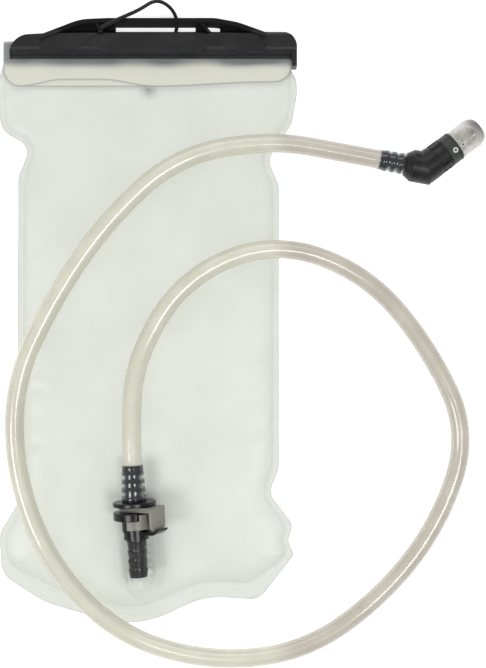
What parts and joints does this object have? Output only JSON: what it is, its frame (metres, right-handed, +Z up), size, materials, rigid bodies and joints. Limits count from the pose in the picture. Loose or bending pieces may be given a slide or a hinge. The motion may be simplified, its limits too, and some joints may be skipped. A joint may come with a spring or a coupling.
{
  "type": "hydration bladder",
  "caption": "Flat welded film water reservoir with a slide closure at the top, a quick-release port near the bottom and a long drink tube ending in an elbow bite valve.",
  "frame": {"origin": "on the resting plane under the middle of the reservoir with its closure", "axes": "+X across the reservoir in the closure's opening direction, +Y from the bottom weld to the closure, +Z up off the resting plane"},
  "size_m": [0.2789, 0.3831, 0.0325],
  "materials": {
    "film": "frosted translucent welded film",
    "tube_plastic": "smooth milky tube",
    "port_plastic": "translucent cream moulding",
    "black_plastic": "satin black moulding",
    "grey_plastic": "satin grey moulding",
    "ring_plastic": "matt dark grey-green moulding",
    "silicone": "clear silicone",
    "seal_rubber": "matt seal rubber",
    "spring_steel": "drawn spring wire",
    "tether": "braided black cord"
  },
  "bodies": {
    "reservoir": {"back_film": "film", "front_film": "film", "tether_anchor": "black_plastic", "port_spout": "port_plastic", "coupling_body": "black_plastic", "latch_cover": "grey_plastic"},
    "closure": {"slide_closure": "black_plastic", "tether_cord": "tether"},
    "latch": {"thumb_latch": "grey_plastic", "latch_spring": "spring_steel"},
    "poppet": {"shutoff_poppet": "black_plastic", "poppet_seal": "seal_rubber", "poppet_spring": "spring_steel"},
    "hose": {"hose_insert": "black_plastic", "insert_seal": "seal_rubber", "drink_tube": "tube_plastic", "swivel_barb": "black_plastic", "swivel_seal": "seal_rubber"},
    "elbow": {"elbow_body": "black_plastic", "valve_core": "black_plastic", "core_seal": "seal_rubber", "bite_mouthpiece": "silicone"},
    "collar": {"twist_sleeve": "black_plastic", "marked_ring": "ring_plastic"}
  },
  "joints": [
    {"name": "closure_slide", "type": "slide", "parent": "reservoir", "child": "closure", "axis": [1, 0, 0], "range_m": [0, 0.165]},
    {"name": "hose_release", "type": "slide", "parent": "reservoir", "child": "hose", "axis": [-0.0593, 0.9982, 0], "range_m": [0, 0.012]},
    {"name": "latch_press", "type": "slide", "parent": "reservoir", "child": "latch", "axis": [-0.8466, -0.0503, -0.5299], "range_m": [0, 0.002], "stiffness_N_per_m": 800, "deforming": ["latch_spring"]},
    {"name": "poppet_lift", "type": "slide", "parent": "reservoir", "child": "poppet", "axis": [-0.0593, 0.9982, 0], "range_m": [0, 0.002], "deforming": ["poppet_spring"]},
    {"name": "elbow_swivel", "type": "hinge", "parent": "hose", "child": "elbow", "pos_m": [0.1589, 0.0893, 0.0093], "axis": [0.9833, -0.1822, 0], "continuous": true},
    {"name": "shutoff_twist", "type": "hinge", "parent": "elbow", "child": "collar", "pos_m": [0.1589, 0.0893, 0.0093], "axis": [0.8007, 0.599, 0], "range_deg": [0, 90]}
  ],
  "couplings": [
    {"joint": "poppet_lift", "follows": "hose_release", "ratio": 0.1666}
  ]
}
